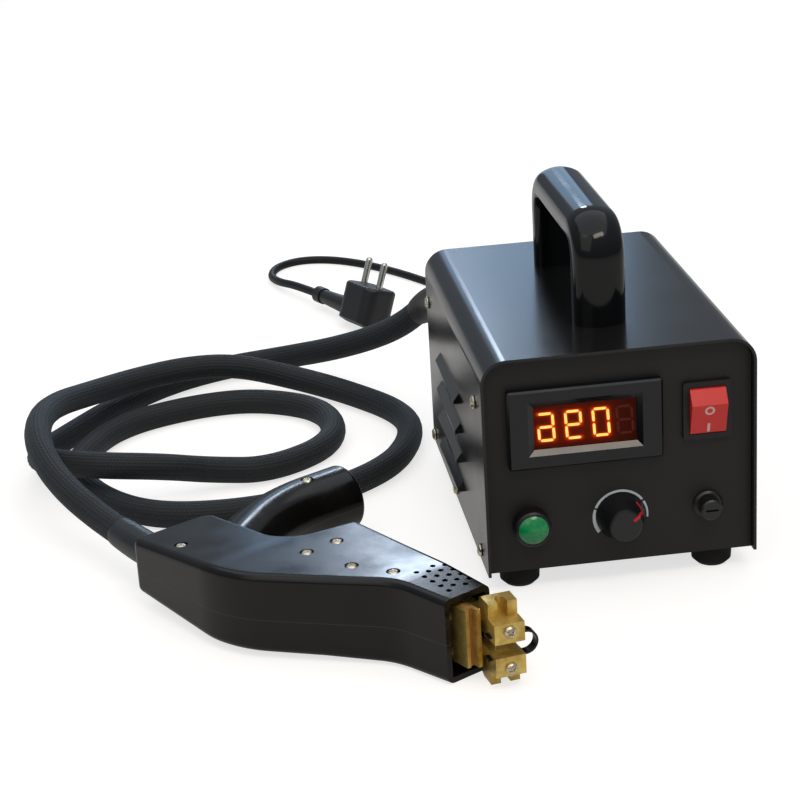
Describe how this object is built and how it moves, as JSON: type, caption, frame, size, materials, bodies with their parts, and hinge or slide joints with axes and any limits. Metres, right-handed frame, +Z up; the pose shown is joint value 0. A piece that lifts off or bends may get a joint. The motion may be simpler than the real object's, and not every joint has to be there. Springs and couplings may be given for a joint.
{
  "type": "hot blade rubber groove cutter",
  "caption": "Hot-blade rubber groove cutter: boxy mains power unit with meter, dial and carrying handle, joined by a braided hose to a pistol hand tool with brass blade jaws.",
  "frame": {"origin": "middle of the footprint of the power unit and hand tool, on the floor", "axes": "+Z up, the power unit's panel faces -Y, +X to the right of someone who looks at the panel"},
  "size_m": [0.3859, 0.7217, 0.1865],
  "materials": {
    "black_paint": "satin fine texture",
    "panel_paint": "matt",
    "handle_plastic": "polished",
    "screw_steel": "plated",
    "foot_rubber": "matt",
    "meter_plastic": "satin",
    "window_red": "tinted",
    "display_black": "matt",
    "switch_plastic": "satin",
    "rocker_red": "glossy",
    "tab_brass": "plain",
    "pot_metal": "plain",
    "knob_plastic": "matt",
    "lamp_plastic": "matt",
    "lamp_green": "translucent",
    "fuse_plastic": "matt",
    "fuse_glass": "clear",
    "core_steel": "varnished laminations",
    "winding_copper": "enamelled",
    "board_green": "solder mask",
    "sink_aluminium": "plain",
    "gland_plastic": "matt",
    "hose_braid": "braided",
    "shrink_sleeve": "satin",
    "cord_rubber": "satin",
    "plug_plastic": "satin",
    "pin_nickel": "polished",
    "gun_plastic": "polished",
    "jaw_brass": "machined",
    "insulator_brown": "phenolic",
    "blade_steel": "blued"
  },
  "bodies": {
    "machine": {"base_chassis": "panel_paint", "top_cover": "black_paint", "cover_screws": "screw_steel", "carry_handle": "handle_plastic", "handle_screws": "screw_steel", "rubber_feet": "foot_rubber", "foot_screws": "screw_steel", "meter_case": "meter_plastic", "meter_window": "window_red", "meter_display": "display_black", "switch_housing": "switch_plastic", "switch_terminals": "tab_brass", "potentiometer": "pot_metal", "potentiometer_nut": "screw_steel", "lamp_bezel": "lamp_plastic", "lamp_lens": "lamp_green", "lamp_nut": "lamp_plastic", "fuse_holder": "fuse_plastic", "fuse_nut": "fuse_plastic", "transformer_core": "core_steel", "primary_winding": "winding_copper", "secondary_winding": "winding_copper", "transformer_strap": "screw_steel", "transformer_bolts": "screw_steel", "control_board": "board_green", "board_standoffs": "tab_brass", "heat_sink": "sink_aluminium", "hose_gland": "gland_plastic", "hose_gland_nut": "gland_plastic", "mains_strain_relief": "gland_plastic", "tool_hose": "hose_braid", "hose_end_sleeve": "shrink_sleeve", "mains_lead": "cord_rubber", "mains_coil": "cord_rubber", "mains_cord": "cord_rubber", "coil_tie": "gland_plastic", "plug_body": "plug_plastic", "plug_pins": "pin_nickel", "gun_shell_upper": "gun_plastic", "gun_shell_lower": "gun_plastic", "shell_screws": "screw_steel", "conductor_plate_near": "jaw_brass", "conductor_plate_far": "jaw_brass", "conductor_insulator": "insulator_brown", "jaw_screws": "screw_steel", "jaw_block_upper": "jaw_brass", "jaw_block_lower": "jaw_brass", "blade": "blade_steel"},
    "rocker_body": {"rocker": "rocker_red"},
    "dial": {"potentiometer_shaft": "pot_metal", "control_knob": "knob_plastic"},
    "fuse_insert": {"fuse_carrier": "screw_steel", "fuse_cartridge": "fuse_glass"},
    "fuse_cap_body": {"fuse_cap": "fuse_plastic"},
    "upper_clamp": {"clamp_bar_upper": "jaw_brass"},
    "upper_screw": {"clamp_screw_upper": "screw_steel"},
    "lower_clamp": {"clamp_bar_lower": "jaw_brass"},
    "lower_screw": {"clamp_screw_lower": "screw_steel"}
  },
  "joints": [
    {"name": "rocker_tilt", "type": "hinge", "parent": "machine", "child": "rocker_body", "pos_m": [0.1313, -0.0543, 0.0907], "axis": [-1, 0, 0], "range_deg": [0, 20]},
    {"name": "dial_turn", "type": "hinge", "parent": "machine", "child": "dial", "pos_m": [0.086, -0.0595, 0.0368], "axis": [0, 1, 0], "range_deg": [-215, 85]},
    {"name": "fuse_pull", "type": "slide", "parent": "machine", "child": "fuse_insert", "axis": [0, -1, 0], "range_m": [0, 0.03]},
    {"name": "fuse_cap_turn", "type": "hinge", "parent": "fuse_insert", "child": "fuse_cap_body", "pos_m": [0.1315, -0.0595, 0.0385], "axis": [0, -1, 0], "range_deg": [0, 60]},
    {"name": "upper_clamp_open", "type": "slide", "parent": "machine", "child": "upper_clamp", "axis": [0.1894, -0.9819, 0], "range_m": [0, 0.0015]},
    {"name": "upper_screw_turn", "type": "hinge", "parent": "upper_clamp", "child": "upper_screw", "pos_m": [0.01044, -0.1557, 0.0305], "axis": [0.1894, -0.9819, 0], "range_deg": [0, 1085]},
    {"name": "lower_clamp_open", "type": "slide", "parent": "machine", "child": "lower_clamp", "axis": [0.1894, -0.9819, 0], "range_m": [0, 0.0015]},
    {"name": "lower_screw_turn", "type": "hinge", "parent": "lower_clamp", "child": "lower_screw", "pos_m": [0.01044, -0.1557, 0.0115], "axis": [0.1894, -0.9819, 0], "range_deg": [0, 1085]}
  ],
  "couplings": [
    {"joint": "upper_screw_turn", "follows": "upper_clamp_open", "rad_per_m": 12566},
    {"joint": "lower_screw_turn", "follows": "lower_clamp_open", "rad_per_m": 12566}
  ]
}
